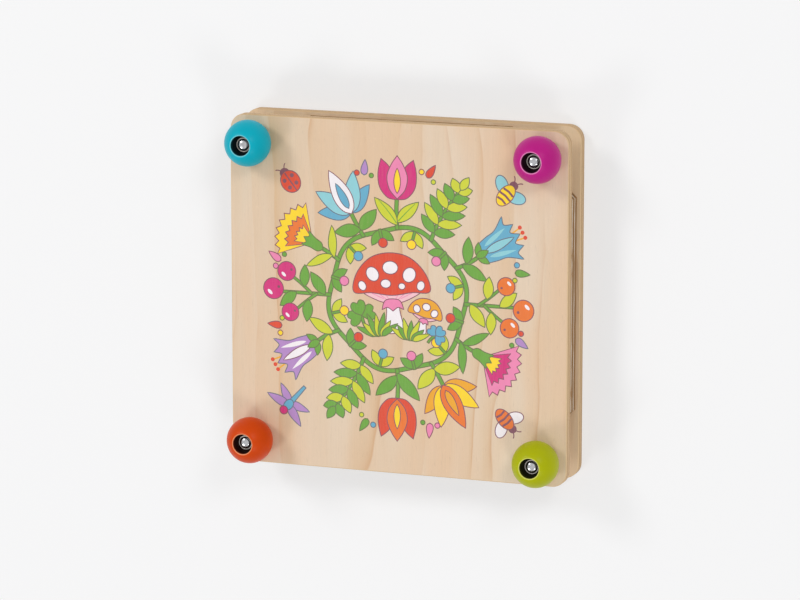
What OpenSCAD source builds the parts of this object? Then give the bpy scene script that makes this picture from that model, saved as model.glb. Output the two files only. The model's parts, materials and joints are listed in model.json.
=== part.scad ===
// Flower press: two plywood boards squeeze a stack of corrugated card and blotting paper.
// Four bolts stand on the lower board. A ball knob with a threaded insert runs on each.
// Origin at the middle of the base board's underside, +Z up along the bolts, +X right, +Y to the rear.

/* [Boards] */
// Width of both boards, left to right
board_w = 190; // [150:1:260]
// Depth of both boards, front to rear
board_d = 190; // [150:1:260]
// Thickness of the base board
base_t = 6; // [5:0.5:12]
// Thickness of the printed top board
top_t = 6; // [5:0.5:12]
// Radius of the boards' corners in plan
corner_r = 8; // [3:0.5:12]
// Chamfer along the boards' upper and lower edges
board_edge = 0.5; // [0.2:0.1:1]

/* [Bolts and nuts] */
// Thread diameter of the bolts
bolt_d = 6; // [5:0.5:7]
// How far a bolt's tip lies below its knob's crown
tip_depth = 2.55; // [1.5:0.05:4]
// Distance from a board's edge to the nearest bolt axes
bolt_inset = 14; // [13:0.5:16]
// Chamfer at the bolt's tip
bolt_tip = 0.9; // [0.4:0.1:1.4]
// Diameter of the countersunk head
head_d = 11.3; // [10:0.1:13]
// Height of the countersunk head's cone
head_cone_h = 2.65; // [2:0.05:3]
// Height of the head's straight rim
head_rim_h = 0.5; // [0.3:0.1:1]
// How far the head lies below the base board's underside
head_sink = 0.3; // [0.1:0.1:0.6]
// Width of the cross recess in the head, from tip to tip
cross_w = 5.6; // [4:0.1:7]
// Thickness of the cross recess's arms
cross_t = 1.1; // [0.8:0.1:1.6]
// Depth of the cross recess
cross_depth = 2; // [1:0.1:2.5]
// Width of a nut across its flats
nut_flats = 10; // [9.5:0.1:11]
// Height of a nut
nut_h = 5; // [3:0.5:6]

/* [Knobs] */
// Diameter of the ball knobs
knob_d = 25; // [23:0.5:27]
// Diameter of the knob's flat foot
knob_foot_d = 15; // [12:0.5:17]
// Diameter of the recess in the knob's crown
recess_d = 11; // [9.5:0.1:12]
// Depth of the recess below the knob's crown
recess_depth = 4.6; // [3.5:0.1:6]
// Width of the eased edge round the recess
recess_edge = 0.7; // [0.3:0.1:1.2]
// Outer diameter of the threaded insert
insert_d = 8; // [7.6:0.1:9]
// Distance from the knob's foot up to the insert
insert_lift = 1.25; // [0.5:0.05:4]
// Countersink at the insert's upper rim
insert_edge = 0.3; // [0.1:0.1:0.5]

/* [Sheets] */
// Distance from the boards' edges to the sheets' edges
sheet_inset = 2; // [1:0.5:6]
// Thickness of a corrugated card
card_t = 3; // [2:0.1:3.4]
// Thickness of a card's flat liners and of its wave
liner_t = 0.35; // [0.25:0.05:0.5]
// Length of one wave of the corrugation
flute_pitch = 6.5; // [5:0.5:9]
// Thickness of a sheet of blotting paper
blotter_t = 0.5; // [0.3:0.1:0.8]

/* [Fits] */
// Least gap between a nut's corners and the sheets' cut edges
nut_gap = 2.7; // [1:0.1:8]
// Radial gap between a bolt and the top board's hole
slide_gap = 0.5; // [0.3:0.1:1]
// Radial gap between a bolt and the insert's thread
thread_gap = 0.05; // [0.02:0.01:0.1]

/* [Hidden] */
CARDS = 4;
PAIRS = CARDS - 1;
$fn = 96;

// Signs of each corner's X and Y
FRONT_LEFT = [-1, -1];
FRONT_RIGHT = [1, -1];
REAR_LEFT = [-1, 1];
REAR_RIGHT = [1, 1];
CORNERS = [FRONT_LEFT, FRONT_RIGHT, REAR_LEFT, REAR_RIGHT];

// Segments in one wave of the corrugation
WAVE_STEPS = 8;

// How far a cut runs past the face that it opens
overrun = 1;

// Heights of the faces that the stack is built on
base_top_z = base_t;
pair_t = card_t + 2 * blotter_t;
stack_t = CARDS * card_t + 2 * PAIRS * blotter_t;
top_board_z = base_top_z + stack_t;
knob_z = top_board_z + top_t;

// The knob's ball sits on its foot, and its crown ends where the recess begins
knob_r = knob_d / 2;
ball_z = sqrt(knob_r * knob_r - knob_foot_d * knob_foot_d / 4);
crown_r = recess_d / 2 + recess_edge;
crown_h = ball_z + sqrt(knob_r * knob_r - crown_r * crown_r);
recess_floor_h = crown_h - recess_depth;
insert_len = recess_floor_h - insert_lift;

// A bolt runs from its sunk head to just below the knob's crown
bolt_r = bolt_d / 2;
bolt_len = knob_z + crown_h - tip_depth - head_sink;
nut_corner_r = nut_flats / 2 / cos(30);

// The sheets' corners are cut off along a line that stays clear of the nuts
sheet_w = board_w - 2 * sheet_inset;
sheet_d = board_d - 2 * sheet_inset;
sheet_cut = 2 * (bolt_inset - sheet_inset) + sqrt(2) * (nut_corner_r + nut_gap);

function corner_at(corner) = [
    corner[0] * (board_w / 2 - bolt_inset),
    corner[1] * (board_d / 2 - bolt_inset)
];

// Height of the wave's middle line, whose crests lie in the liners
function wave_z(x) = card_t / 2 + (card_t / 2 - liner_t) * cos(360 * x / flute_pitch);

module at_corner(corner, z = 0) {
    translate([corner_at(corner)[0], corner_at(corner)[1], z]) children();
}

// Section through a board, with its upper and lower edges chamfered
module board_section(width, thickness) {
    x = width / 2;
    polygon([
        [-x + board_edge, 0], [x - board_edge, 0], [x, board_edge], [x, thickness - board_edge],
        [x - board_edge, thickness], [-x + board_edge, thickness],
        [-x, thickness - board_edge], [-x, board_edge]
    ]);
}

// A bar of that section, lying along Y
module board_bar(width, length, thickness) {
    translate([0, length / 2, 0]) rotate([90, 0, 0])
        linear_extrude(length) board_section(width, thickness);
}

// Two crossed bars, with a round at each corner
module board(thickness) {
    board_bar(board_w, board_d - 2 * corner_r, thickness);
    rotate(90) board_bar(board_d, board_w - 2 * corner_r, thickness);
    for (corner = CORNERS)
        translate([corner[0] * (board_w / 2 - corner_r), corner[1] * (board_d / 2 - corner_r), 0])
            rotate_extrude() intersection() {
                board_section(2 * corner_r, thickness);
                square([corner_r, thickness]);
            }
}

module base_board() color("#dcc39c") difference() {
    board(base_t);
    for (corner = CORNERS) at_corner(corner) {
        translate([0, 0, -overrun]) cylinder(r = bolt_r, h = base_t + 2 * overrun);
        translate([0, 0, -overrun]) cylinder(d = head_d, h = overrun + head_sink + head_rim_h);
        translate([0, 0, head_sink + head_rim_h])
            cylinder(r1 = head_d / 2, r2 = bolt_r, h = head_cone_h);
    }
}

module top_board() color("#e2c8a8") translate([0, 0, top_board_z]) difference() {
    board(top_t);
    for (corner = CORNERS)
        at_corner(corner, -overrun) cylinder(r = bolt_r + slide_gap, h = top_t + 2 * overrun);
}

// A countersunk bolt, head down, with a cross recess under the head
module bolt(corner) color("#b9bcc0") at_corner(corner, head_sink) difference() {
    rotate_extrude() polygon([
        [0, 0],
        [head_d / 2, 0],
        [head_d / 2, head_rim_h],
        [bolt_r, head_rim_h + head_cone_h],
        [bolt_r, bolt_len - bolt_tip],
        [bolt_r - bolt_tip, bolt_len],
        [0, bolt_len]
    ]);
    translate([0, 0, (cross_depth - overrun) / 2]) for (turn = [0, 90])
        rotate(turn) cube([cross_w, cross_t, cross_depth + overrun], center = true);
}

module nut(corner) color("#c3c6c9") at_corner(corner, base_top_z) difference() {
    cylinder(r = nut_corner_r, h = nut_h, $fn = 6);
    translate([0, 0, -overrun]) cylinder(r = bolt_r, h = nut_h + 2 * overrun);
}

// A ball with a flat foot, a bore for the insert and a recess round the bolt's tip
module knob(corner, paint) color(paint) at_corner(corner, knob_z) rotate_extrude() difference() {
    intersection() {
        translate([0, ball_z]) circle(r = knob_r);
        square([knob_r, crown_h]);
    }
    translate([0, -overrun]) square([insert_d / 2, crown_h + 2 * overrun]);
    translate([0, recess_floor_h]) square([recess_d / 2, recess_depth + overrun]);
    polygon([
        [recess_d / 2, crown_h - recess_edge],
        [crown_r, crown_h],
        [crown_r, crown_h + overrun],
        [0, crown_h + overrun],
        [0, crown_h - recess_edge]
    ]);
}

// A threaded sleeve, its rim level with the floor of the knob's recess
module insert(corner) color("#aeb1b4") at_corner(corner, knob_z + recess_floor_h - insert_len)
    rotate_extrude() polygon([
        [bolt_r + thread_gap, 0],
        [insert_d / 2, 0],
        [insert_d / 2, insert_len],
        [bolt_r + thread_gap + insert_edge, insert_len],
        [bolt_r + thread_gap, insert_len - insert_edge]
    ]);

// A sheet's outline: a rectangle with its corners cut off
module sheet_plan() {
    x = sheet_w / 2;
    y = sheet_d / 2;
    polygon([
        [-x + sheet_cut, -y], [x - sheet_cut, -y], [x, -y + sheet_cut], [x, y - sheet_cut],
        [x - sheet_cut, y], [-x + sheet_cut, y], [-x, y - sheet_cut], [-x, -y + sheet_cut]
    ]);
}

// The hollow above one trough of the wave, up to the upper liner
module flute() {
    step = flute_pitch / WAVE_STEPS;
    trough = [for (i = [1 : WAVE_STEPS - 1]) [i * step, wave_z(i * step) + liner_t / 2]];
    liner = card_t - liner_t;
    polygon(concat(trough, [[flute_pitch - step, liner], [step, liner]]));
}

// Section through the card: flutes above and below the wave, running front to rear
module corrugation() {
    waves = ceil(sheet_w / 2 / flute_pitch);
    difference() {
        translate([-waves * flute_pitch, 0]) square([2 * waves * flute_pitch, card_t]);
        for (i = [-waves : waves - 1]) translate([i * flute_pitch, 0]) {
            flute();
            translate([flute_pitch / 2, card_t]) mirror([0, 1]) flute();
        }
    }
}

module card(number) color("#a8876a") translate([0, 0, base_top_z + (number - 1) * pair_t])
    intersection() {
        translate([0, 0, -overrun]) linear_extrude(card_t + 2 * overrun) sheet_plan();
        translate([0, sheet_d / 2 + overrun, 0]) rotate([90, 0, 0])
            linear_extrude(sheet_d + 2 * overrun) corrugation();
    }

// Blotters 1 and 2 lie on card 1, 3 and 4 on card 2, 5 and 6 on card 3
module blotter(number) {
    card_below = ceil(number / 2);
    place = number - 2 * card_below + 1;
    color("#e9e3d6")
        translate([0, 0, base_top_z + (card_below - 1) * pair_t + card_t + place * blotter_t])
            linear_extrude(blotter_t) sheet_plan();
}

base_board();
top_board();
bolt(FRONT_LEFT);  // bolt_front_left
bolt(FRONT_RIGHT);  // bolt_front_right
bolt(REAR_LEFT);  // bolt_rear_left
bolt(REAR_RIGHT);  // bolt_rear_right
nut(FRONT_LEFT);  // nut_front_left
nut(FRONT_RIGHT);  // nut_front_right
nut(REAR_LEFT);  // nut_rear_left
nut(REAR_RIGHT);  // nut_rear_right
knob(FRONT_LEFT, "#c8481a");  // knob_front_left
knob(FRONT_RIGHT, "#a4a50e");  // knob_front_right
knob(REAR_LEFT, "#129dae");  // knob_rear_left
knob(REAR_RIGHT, "#b02e80");  // knob_rear_right
insert(FRONT_LEFT);  // insert_front_left
insert(FRONT_RIGHT);  // insert_front_right
insert(REAR_LEFT);  // insert_rear_left
insert(REAR_RIGHT);  // insert_rear_right
card(1);  // card_1
card(2);  // card_2
card(3);  // card_3
card(4);  // card_4
blotter(1);  // blotter_1
blotter(2);  // blotter_2
blotter(3);  // blotter_3
blotter(4);  // blotter_4
blotter(5);  // blotter_5
blotter(6);  // blotter_6
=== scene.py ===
import json
import random
from functools import partial
from math import acos, ceil, cos, degrees, dist, hypot, pi, radians, sin, sqrt, tan

import bmesh
import bpy
from mathutils import Matrix, Vector, noise
from mathutils.geometry import delaunay_2d_cdt, tessellate_polygon


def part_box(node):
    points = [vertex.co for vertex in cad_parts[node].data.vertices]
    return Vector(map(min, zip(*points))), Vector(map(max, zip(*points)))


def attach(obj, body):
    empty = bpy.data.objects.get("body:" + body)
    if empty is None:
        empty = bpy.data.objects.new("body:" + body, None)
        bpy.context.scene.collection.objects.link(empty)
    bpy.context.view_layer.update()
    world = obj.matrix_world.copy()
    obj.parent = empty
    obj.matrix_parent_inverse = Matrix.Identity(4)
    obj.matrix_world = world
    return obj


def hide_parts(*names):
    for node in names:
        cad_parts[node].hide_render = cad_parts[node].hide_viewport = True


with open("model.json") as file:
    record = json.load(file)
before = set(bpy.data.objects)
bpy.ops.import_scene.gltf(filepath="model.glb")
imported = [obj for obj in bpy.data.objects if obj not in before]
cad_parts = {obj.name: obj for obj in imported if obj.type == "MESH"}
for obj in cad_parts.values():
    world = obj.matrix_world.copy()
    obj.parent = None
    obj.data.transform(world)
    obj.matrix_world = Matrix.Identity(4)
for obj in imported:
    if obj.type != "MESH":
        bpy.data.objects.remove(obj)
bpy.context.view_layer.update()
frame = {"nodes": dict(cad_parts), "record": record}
bodies = frame["record"]["behaviour"]["bodies"]
bodyOf = {node: body for body, members in bodies.items() for node in members}

mm = 0.001  # lengths are in millimetres unless they feed Blender directly
weldGap, sliver = 1e-7, 2e-6  # metres
cornerNames = ("front_left", "front_right", "rear_left", "rear_right")


def screenColor(*channels):
    # 0-255 screen colour to the linear colour that a shader takes
    linear = []
    for share in (channel / 255 for channel in channels):
        linear.append(share / 12.92 if share <= 0.04045 else ((share + 0.055) / 1.055) ** 2.4)
    return (*linear, 1)


# in the node helpers a value is a number, a colour or another node's output socket
def feed(socket, value):
    if isinstance(value, bpy.types.NodeSocket):
        socket.id_data.links.new(value, socket)
    else:
        socket.default_value = value


def addNode(tree, kind, inputs=None, **settings):
    node = tree.nodes.new("ShaderNode" + kind)
    for key, value in settings.items():
        setattr(node, key, value)
    for key, value in (inputs or {}).items():
        feed(node.inputs[key], value)
    return node.outputs


def maths(operation, *values):
    tree = next(value.id_data for value in values if isinstance(value, bpy.types.NodeSocket))
    return addNode(tree, "Math", dict(enumerate(values)), operation=operation)[0]


plus, minus, times, timesPlus = (
    partial(maths, operation) for operation in ("ADD", "SUBTRACT", "MULTIPLY", "MULTIPLY_ADD"))


def around(value, amount, middle=0):
    # a 0-1 noise turned into middle plus or minus half the amount
    return timesPlus(value, amount, middle - amount / 2)


def split(vector):
    return addNode(vector.id_data, "SeparateXYZ", {0: vector})


def stretched(vector, factors):
    return addNode(vector.id_data, "VectorMath", {0: vector, 1: factors}, operation="MULTIPLY")[0]


def noiseValue(place, size, seed=0, detail=2, roughness=0.5):
    # size is one noise cell along x, y and z, in millimetres
    cells = stretched(place, tuple(1 / length for length in size))
    inputs = {"Vector": cells, "W": seed, "Scale": 1, "Detail": detail, "Roughness": roughness}
    return addNode(place.id_data, "TexNoise", inputs, noise_dimensions="4D")[0]


def fade(value, low, high, fromValue=0, toValue=1):
    inputs = {"Value": value, "From Min": low, "From Max": high, "To Min": fromValue, "To Max": toValue}
    return addNode(value.id_data, "MapRange", inputs, interpolation_type="SMOOTHSTEP")[0]


def blendColor(factor, first, second):
    return addNode(factor.id_data, "Mix", {0: factor, 6: first, 7: second}, data_type="RGBA")[2]


def brighten(color, factor):
    return addNode(color.id_data, "VectorMath", {0: color, "Scale": factor}, operation="SCALE")[0]


def newGroup(name, colors, values):
    # the group's inputs, and its Vector input in millimetres
    tree = bpy.data.node_groups.new(name, "ShaderNodeTree")
    sockets = [("Vector", "Vector")] + [(color, "Color") for color in colors]
    sockets += [(value, "Float") for value in values]
    for socketName, kind in sockets:
        tree.interface.new_socket(socketName, in_out="INPUT", socket_type="NodeSocket" + kind)
    source = tree.nodes.new("NodeGroupInput").outputs
    return source, stretched(source["Vector"], (1000, 1000, 1000))


def giveOut(**results):
    # closes a group with these outputs
    tree = results["Color"].id_data
    for name in results:
        kind = "Color" if name == "Color" else "Float"
        tree.interface.new_socket(name, in_out="OUTPUT", socket_type="NodeSocket" + kind)
    sockets = tree.nodes.new("NodeGroupOutput").inputs
    for name, value in results.items():
        feed(sockets[name], value)
    return tree


def placeGroup(tree, group, inputs):
    # an input is a number, a socket, a screen colour or the name of a mesh attribute
    node = tree.nodes.new("ShaderNodeGroup")
    node.node_tree = group
    feed(node.inputs["Vector"], addNode(tree, "TexCoord")["Object"])
    for key, value in inputs.items():
        if isinstance(value, str):
            value = addNode(tree, "Attribute", attribute_name=value)["Fac"]
        elif isinstance(value, tuple):
            value = screenColor(*value)
        feed(node.inputs[key], value)
    return node.outputs


def newMaterial(name, shown, specular=0.5, ior=1.5, metallic=0):
    material = bpy.data.materials.new(name)
    material.use_nodes = True
    material.diffuse_color = shown
    tree = material.node_tree
    tree.nodes.clear()
    shader = tree.nodes.new("ShaderNodeBsdfPrincipled")
    addNode(tree, "OutputMaterial", {"Surface": shader.outputs[0]})
    for key, value in (("Specular IOR Level", specular), ("IOR", ior), ("Metallic", metallic)):
        shader.inputs[key].default_value = value
    return material, shader.inputs


def finishShader(shader, color, roughness, height, relief):
    # relief is the bump's strength and its depth in millimetres
    feed(shader["Base Color"], color)
    feed(shader["Roughness"], roughness)
    inputs = {"Height": height, "Strength": relief[0], "Distance": relief[1] * mm}
    feed(shader["Normal"], addNode(height.id_data, "Bump", inputs)[0])


def groupMaterial(name, shown, group, inputs, relief, **shaderValues):
    # a material whose colour, roughness and relief come from one group
    material, shader = newMaterial(name, screenColor(*shown), **shaderValues)
    look = placeGroup(material.node_tree, group, inputs)
    finishShader(shader, look["Color"], look["Roughness"], look["Height"], relief)
    return material


def makeWoodGrain():
    # sliced timber: growth rings cut as long arches, with fibres, pores and flecks
    source, place = newGroup("woodGrain", ("Pale", "Deep", "Line", "Blush"),
                             ("Centre X", "Centre Y", "Stretch", "Ring Width", "Figure", "Seed"))
    seed, axes = source["Seed"], split(place)
    sway = around(noiseValue(place, (78, 150, 78), seed), 64)
    uneven = around(noiseValue(place, (24, 400, 24), plus(seed, 3)), 30)
    ripple = around(noiseValue(place, (14, 45, 14), seed, 3), 5.5)
    across = plus(plus(minus(axes[0], source["Centre X"]), sway), plus(ripple, uneven))
    along = times(minus(axes[1], source["Centre Y"]), source["Stretch"])
    reach = maths("SQRT", plus(times(across, across), times(along, along)))
    rings = maths("DIVIDE", reach, source["Ring Width"])
    phase = maths("FRACT", rings)
    ownSeed = plus(maths("FLOOR", rings), seed)
    own = addNode(place.id_data, "TexWhiteNoise", {"W": ownSeed}, noise_dimensions="1D")[0]
    late = times(maths("POWER", phase, 14), fade(phase, 0.955, 1, 1, 0))
    shown = fade(noiseValue(place, (30, 70, 30), seed), 0.45, 0.68)
    line = times(times(late, shown), source["Figure"])
    ramped = times(maths("POWER", phase, 1.8), around(own, 1.1, 0.6))
    ramped = times(ramped, fade(phase, 0.94, 1, 1, 0))
    bands = fade(noiseValue(place, (17, 210, 17), seed, 3), 0.3, 0.72)
    tone = plus(times(bands, 0.55), times(ramped, 0.5))
    blush = fade(noiseValue(place, (26, 120, 26), plus(seed, 7)), 0.4, 0.7)
    color = blendColor(tone, source["Pale"], source["Deep"])
    color = blendColor(times(blush, 0.75), color, source["Blush"])
    color = blendColor(line, color, source["Line"])
    fibre = noiseValue(place, (0.55, 24, 0.55), seed, 4, 0.6)
    pores = fade(noiseValue(place, (0.3, 4.5, 0.3), seed, 1), 0.64, 0.74)
    flecks = fade(noiseValue(place, (0.8, 1.7, 0.8), seed, 1), 0.6, 0.78)
    light = timesPlus(flecks, 0.035, timesPlus(pores, -0.1, around(fibre, 0.13, 1)))
    height = timesPlus(line, 0.5, timesPlus(pores, -0.8, times(fibre, 0.7)))
    return giveOut(Color=brighten(color, light), Height=height,
                   Roughness=timesPlus(pores, 0.15, around(fibre, 0.12, 0.5)))


plyPlace = 0.22  # of the second and fourth ply, from the middle, as a share of the board's thickness


def makePlyEdge():
    # five plies with glue between them; the first, third and fifth run front to rear
    source, place = newGroup("plyEdge", ("Long Grain", "End Grain", "Glue"), ("Bottom", "Thickness", "Seed"))
    tree, seed = place.id_data, source["Seed"]
    share = maths("DIVIDE", minus(split(place)[2], source["Bottom"]), source["Thickness"])
    share = plus(share, around(noiseValue(place, (16, 16, 900), seed, 3), 0.05))
    fromMiddle = maths("ABSOLUTE", minus(share, 0.5))
    fromPly = maths("ABSOLUTE", minus(fromMiddle, plyPlace))
    glue = fade(maths("ABSOLUTE", minus(fromPly, plyPlace / 2)), 0.004, 0.02, 0.75, 0)
    side = split(addNode(tree, "TexCoord")["Normal"])[1]
    endGrain = maths("ABSOLUTE", minus(times(side, side), maths("LESS_THAN", fromPly, plyPlace / 2)))
    streaks = noiseValue(place, (22, 22, 0.28), seed, 4, 0.65)
    pits = noiseValue(place, (0.55, 0.55, 0.45), seed, 3, 0.6)
    grain = addNode(tree, "Mix", {0: endGrain, 2: streaks, 3: pits}, data_type="FLOAT")[0]
    color = blendColor(endGrain, source["Long Grain"], source["End Grain"])
    color = brighten(color, around(grain, 0.34, 1))
    return giveOut(Color=blendColor(glue, color, source["Glue"]), Height=timesPlus(glue, -0.35, grain),
                   Roughness=around(grain, 0.15, 0.68))


def makePrintedInk():
    # ink on bare wood: it misses some specks and thins out along the fibres
    source, place = newGroup("printedInk", ("Ink", "Wood"), ("Cover",))
    fibre = noiseValue(place, (0.5, 9, 0.5), 3, 3)
    cloud = noiseValue(place, (3.5, 5, 3.5), 8, 2)
    specks = fade(noiseValue(place, (0.3, 0.6, 0.3), 5, 1), 0.66, 0.74)
    cover = plus(timesPlus(specks, -0.25, source["Cover"]), around(fibre, 0.2))
    tinted = brighten(source["Ink"], around(cloud, 0.16, 1))
    return giveOut(Color=blendColor(cover, source["Wood"], tinted), Height=timesPlus(specks, -0.5, fibre))


def makeSatinPaint():
    # sprayed paint with a faint orange peel, worn thin and lightened as a painted highlight where the lip
    # mark is high, and darkened as painted shade inside the recess
    source, place = newGroup("satinPaint", ("Paint", "Worn", "Deep"), ("Wear And Highlight", "Inside", "Seed"))
    seed = source["Seed"]
    cloud = noiseValue(place, (6, 6, 6), seed, 3)
    peel = noiseValue(place, (0.7, 0.7, 0.7), seed, 2)
    dust = fade(noiseValue(place, (0.45, 0.45, 0.45), seed, 1), 0.7, 0.78)
    broken = noiseValue(place, (0.5, 0.5, 0.5), seed, 3)
    # the lip's light colour is partly paint worn thin and partly a painted highlight
    wearAndHighlight = fade(times(source["Wear And Highlight"], around(broken, 0.7, 1)), 0.3, 0.95)
    color = brighten(source["Paint"], around(cloud, 0.12, 1))
    color = blendColor(times(wearAndHighlight, 0.72), color, source["Worn"])
    rough = timesPlus(source["Inside"], 0.4, around(cloud, 0.12, 0.38))
    # painted shade: the recess is darkened towards the deep colour wherever the inside mark is high
    return giveOut(Color=blendColor(source["Inside"], color, source["Deep"]),
                   Height=timesPlus(dust, 0.6, peel), Roughness=timesPlus(wearAndHighlight, -0.08, rough))


def makeZincPlate():
    source, place = newGroup("zincPlate", ("Bright", "Dull"), ("Grime", "Rough", "Seed"))
    cloud = noiseValue(place, (1.6, 1.6, 1.6), source["Seed"], 4)
    grit = noiseValue(place, (0.16, 0.16, 0.5), source["Seed"], 3, 0.6)
    mask = plus(source["Grime"], fade(cloud, 0.42, 0.7, 0, 0.35))
    rough = plus(source["Rough"], around(cloud, 0.14))
    return giveOut(Color=blendColor(mask, source["Bright"], source["Dull"]), Height=grit,
                   Roughness=timesPlus(source["Grime"], 0.25, rough))


def makePaperFibre():
    source, place = newGroup("paperFibre", ("Base", "Fleck"), ("Fleck Share", "Contrast", "Seed"))
    seed = source["Seed"]
    pulp = noiseValue(place, (0.8, 1.6, 0.25), seed, 4, 0.65)
    cloud = noiseValue(place, (9, 9, 3), seed, 3)
    hair = fade(noiseValue(place, (1.4, 0.2, 0.2), seed, 2), 0.6, 0.72)
    light = timesPlus(minus(pulp, 0.5), source["Contrast"], 1)
    color = brighten(source["Base"], plus(light, around(cloud, 0.08)))
    return giveOut(Color=blendColor(times(hair, source["Fleck Share"]), color, source["Fleck"]),
                   Height=timesPlus(hair, 0.4, pulp), Roughness=around(pulp, 0.1, 0.88))


woodGrain = makeWoodGrain()
plyEdge = makePlyEdge()
printedInk = makePrintedInk()
satinPaint = makeSatinPaint()
zincPlate = makeZincPlate()
paperFibre = makePaperFibre()
print("shared effects:", ", ".join(group.name for group in bpy.data.node_groups))


# the mesh helpers take points in millimetres
def rolled(items, shift=1):
    return items[shift:] + items[:shift]


def skin(rows, steps, closed=False):
    # faces between rings of points that follow each other; closed joins the last ring to the first
    rings = [list(range(row * steps, row * steps + steps)) for row in range(rows)]
    faces = []
    for below, above in zip(rings, rolled(rings) if closed else rings[1:]):
        faces += zip(below, rolled(below), rolled(above), above)
    return faces


def merged(parts):
    # joins (points, faces, slot) parts into one list of each
    points, faces, slots = [], [], []
    for partPoints, partFaces, slot in parts:
        start = len(points)
        points += partPoints
        faces += [tuple(index + start for index in loop) for loop in partFaces]
        slots += [slot] * len(partFaces)
    return points, faces, slots


def arc(x, y, radius, start, end, steps):
    # points of an arc from one angle to another, in degrees anticlockwise from +x
    angles = [radians(start + (end - start) * step / steps) for step in range(steps + 1)]
    return [(x + radius * cos(angle), y + radius * sin(angle)) for angle in angles]


def revolve(profile, centre, steps, closed=True):
    # turns (radius, z) points round a vertical line through centre
    points = [(x, y, z) for radius, z in profile for x, y in arc(*centre, radius, 0, 360, steps)[:-1]]
    return points, skin(len(profile), steps, closed)


def newObject(name, data):
    item = bpy.data.objects.new(name, data)
    bpy.context.scene.collection.objects.link(item)
    return item


def meshOf(form, name):
    mesh = bpy.data.meshes.new(name)
    form.to_mesh(mesh)
    form.free()
    return mesh


def newPiece(name, points, faces, materials, slots=None, flatSlots=(), sharpAngle=35, marks=None):
    # marks are values that a material reads as attributes, for each point or each ring of points
    form, verts = bmesh.new(), []
    layers = [(form.verts.layers.float.new(mark), values) for mark, values in (marks or {}).items()]
    for index, point in enumerate(points):
        verts.append(form.verts.new(Vector(point) * mm))
        for layer, values in layers:
            verts[-1][layer] = values[index * len(values) // len(points)]
    for index, loop in enumerate(faces):
        face = form.faces.new([verts[corner] for corner in loop])
        face.material_index = slots[index] if slots else 0
        face.smooth = face.material_index not in flatSlots
    bmesh.ops.remove_doubles(form, verts=form.verts, dist=weldGap)
    bmesh.ops.delete(form, geom=[vert for vert in form.verts if not vert.link_faces], context="VERTS")
    bmesh.ops.recalc_face_normals(form, faces=form.faces)
    mesh = meshOf(form, name)
    for material in materials:
        mesh.materials.append(material)
    mesh.set_sharp_from_angle(angle=radians(sharpAngle))
    return newObject(name, mesh)


def dress(piece, node):
    # the piece stands for that node and goes wherever the node's body goes
    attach(piece, bodyOf[node])
    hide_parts(node)


def pieceName(node):
    first, *others = node.split("_")
    return first + "".join(word.capitalize() for word in others)


def nodeBox(node):
    low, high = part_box(node)
    return low / mm, high / mm


boltAxis = {}
for corner in cornerNames:
    low, high = nodeBox("bolt_" + corner)
    boltAxis[corner] = ((low.x + high.x) / 2, (low.y + high.y) / 2)

boardLook = {
    "cornerRadius": 8, "cornerSteps": 14,
    "easing": 0.5, "easingSteps": 5,  # rounding of the sanded edges
    "boltRadius": 3, "holeEasing": 0.35, "holeSteps": 40,
    "boltGap": 0.02, "slideGap": 0.5,  # round the bolts in the base and the top board
    "headRadius": 5.65, "headRim": 0.8, "headCone": 2.65,
}
baseWood = {
    "Pale": (229, 206, 174), "Deep": (215, 184, 147), "Line": (187, 138, 94), "Blush": (225, 193, 160),
    "Centre X": 22, "Centre Y": -150, "Stretch": 0.13, "Ring Width": 14, "Figure": 0.7, "Seed": 4,
}
topWood = {
    "Pale": (228, 208, 185), "Deep": (216, 182, 143), "Line": (200, 148, 102), "Blush": (226, 192, 158),
    "Centre X": -34, "Centre Y": 150, "Stretch": 0.11, "Ring Width": 17, "Figure": 0.85, "Seed": 1.7,
}
underWood = {**baseWood, "Centre X": -60, "Centre Y": 120, "Seed": 9}
plies = {"Long Grain": (222, 192, 150), "End Grain": (196, 157, 112), "Glue": (120, 82, 54)}


def faceWood(name, wood, specular):
    return groupMaterial(name, wood["Pale"], woodGrain, wood, (0.35, 0.05), specular=specular)


def edgeWood(name, low, high, seed):
    inputs = {**plies, "Bottom": low.z, "Thickness": high.z - low.z, "Seed": seed}
    return groupMaterial(name, baseWood["Deep"], plyEdge, inputs, (0.55, 0.08))


def roundedOutline(halfX, halfY, radius, steps):
    points = []
    for quarter, (signX, signY) in enumerate(((1, 1), (-1, 1), (-1, -1), (1, -1))):
        x, y = signX * (halfX - radius), signY * (halfY - radius)
        points += arc(x, y, radius, 90 * quarter, 90 * quarter + 90, steps)
    return points


def boardPiece(name, node, materials, holeProfile):
    # materials: upper face, sanded edge, underside
    look, (low, high) = boardLook, nodeBox(node)
    halfX, halfY = (high.x - low.x) / 2, (high.y - low.y) / 2
    eased = arc(look["easing"], look["easing"], -look["easing"], 90, 0, look["easingSteps"])
    rings = [(inset, high.z - drop) for inset, drop in eased]
    rings += [(inset, low.z + drop) for inset, drop in reversed(eased)]
    points = []
    for inset, z in rings:
        radius = look["cornerRadius"] - inset
        outline = roundedOutline(halfX - inset, halfY - inset, radius, look["cornerSteps"])
        points += [(x, y, z) for x, y in outline]
    parts = [(points, skin(len(rings), len(outline)), 1)]
    for corner in cornerNames:
        parts.append((*revolve(holeProfile, boltAxis[corner], look["holeSteps"], closed=False), 1))

    # the two flat faces, each an outline with four holes in it
    counts = [len(outline)] + [look["holeSteps"]] * len(cornerNames)
    upper = [part[0][:count] for part, count in zip(parts, counts)]
    lower = [part[0][-count:] for part, count in zip(parts, counts)]
    for loops, slot in ((upper, 0), (lower, 2)):
        flat = [[Vector((x, y, 0)) for x, y, z in loop] for loop in loops]
        parts.append((sum(loops, []), tessellate_polygon(flat), slot))
    points, faces, slots = merged(parts)
    dress(newPiece(name, points, faces, materials, slots, flatSlots=(0, 2)), node)


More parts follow.
